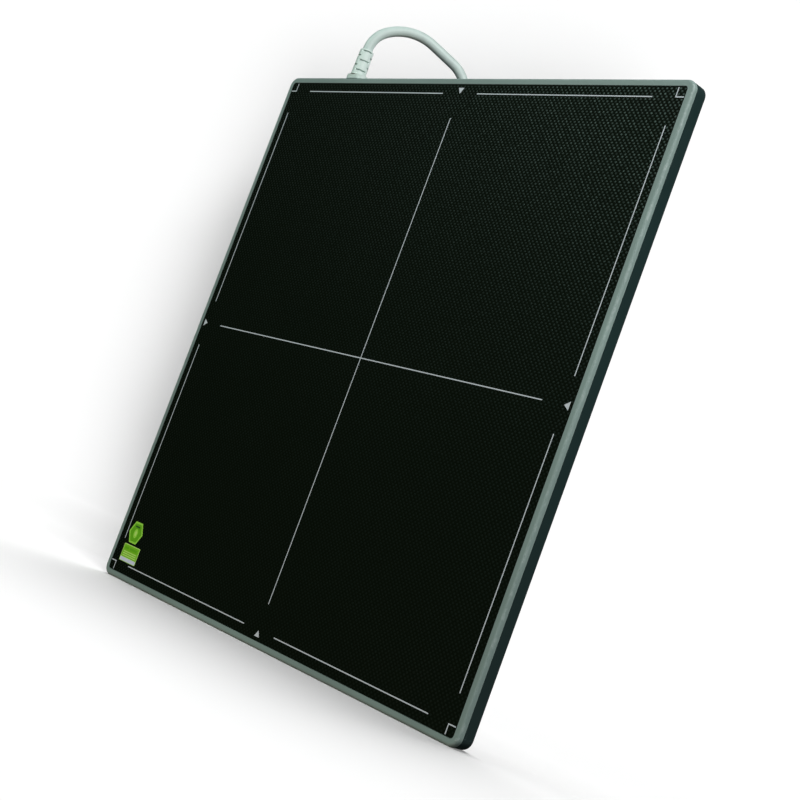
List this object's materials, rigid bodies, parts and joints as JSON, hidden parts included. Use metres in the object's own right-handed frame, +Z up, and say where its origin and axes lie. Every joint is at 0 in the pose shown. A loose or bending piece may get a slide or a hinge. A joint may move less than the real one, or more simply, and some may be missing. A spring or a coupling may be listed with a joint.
{
  "type": "flat-panel x-ray detector",
  "caption": "Square tethered flat-panel X-ray detector cassette with a carbon-fibre window, centring crosshair, light frame, dark rear cover and a strain-relieved cable.",
  "frame": {"origin": "centre of the rear cover's flat rear face", "axes": "+Z up the cassette towards the edge the cable leaves, +X across the front to the viewer's right, the window looks along -Y, +Y out of the rear face"},
  "size_m": [0.46, 0.095, 0.5218],
  "materials": {
    "carbon_fibre": "satin",
    "white_ink": "satin",
    "green_label": "gloss",
    "light_frame_paint": "satin",
    "dark_cover_paint": "satin",
    "black_rubber": "matte",
    "pale_rubber": "satin",
    "dark_steel": "satin",
    "steel": "satin",
    "plate_foil": "satin",
    "grey_foam": "matte",
    "scintillator_screen": "matte",
    "sensor_glass": "gloss",
    "lead_sheet": "matte",
    "bare_aluminium": "satin",
    "flex_film": "satin",
    "chip_black": "matte",
    "green_board": "satin",
    "brass": "satin",
    "ivory_plastic": "matte",
    "ribbon_film": "satin",
    "thermal_pad": "matte",
    "wire_red": "satin",
    "plug_metal": "satin",
    "contact_gold": "polished"
  },
  "bodies": {
    "detector": {"carbon_window": "carbon_fibre", "window_markings": "white_ink", "hex_label": "green_label", "strip_label": "green_label", "window_adhesive": "black_rubber", "front_frame": "light_frame_paint", "rear_gasket": "black_rubber", "rear_cover": "dark_cover_paint", "cover_screws": "dark_steel", "rating_plate": "plate_foil", "front_foam": "grey_foam", "scintillator": "scintillator_screen", "sensor_glass": "sensor_glass", "lead_shield": "lead_sheet", "support_plate": "bare_aluminium", "corner_bumpers": "black_rubber", "plate_screws": "steel", "readout_flexes": "flex_film", "readout_chips": "chip_black", "gate_flexes": "flex_film", "gate_chips": "chip_black", "readout_board": "green_board", "gate_board": "green_board", "main_board": "green_board", "power_board": "green_board", "board_standoffs": "brass", "board_screws": "steel", "board_connectors": "ivory_plastic", "board_ribbons": "ribbon_film", "main_chips": "chip_black", "power_parts": "chip_black", "thermal_pad": "thermal_pad", "heat_spreader": "bare_aluminium", "cable_flange": "pale_rubber", "flange_seal": "black_rubber", "flange_screws": "steel", "cable_core_inlet": "chip_black", "inlet_wires": "wire_red", "inlet_socket": "ivory_plastic"},
    "relief": {"bend_relief": "pale_rubber", "cable_in_relief": "pale_rubber"},
    "cable": {"tether_cable": "pale_rubber", "cable_core": "chip_black", "plug_boot": "black_rubber", "plug_shell": "plug_metal", "plug_insert": "chip_black", "plug_pins": "contact_gold"}
  },
  "joints": [
    {"name": "relief_bend", "type": "hinge", "parent": "detector", "child": "relief", "pos_m": [-0.1475, -0.0075, 0.2348], "axis": [1, 0, 0], "range_deg": [-6, 15], "stiffness_Nm_per_rad": 1.5},
    {"name": "cable_sway", "type": "hinge", "parent": "relief", "child": "cable", "pos_m": [-0.1475, -0.0075, 0.2593], "axis": [0, 1, 0], "range_deg": [-15, 15], "stiffness_Nm_per_rad": 1}
  ]
}
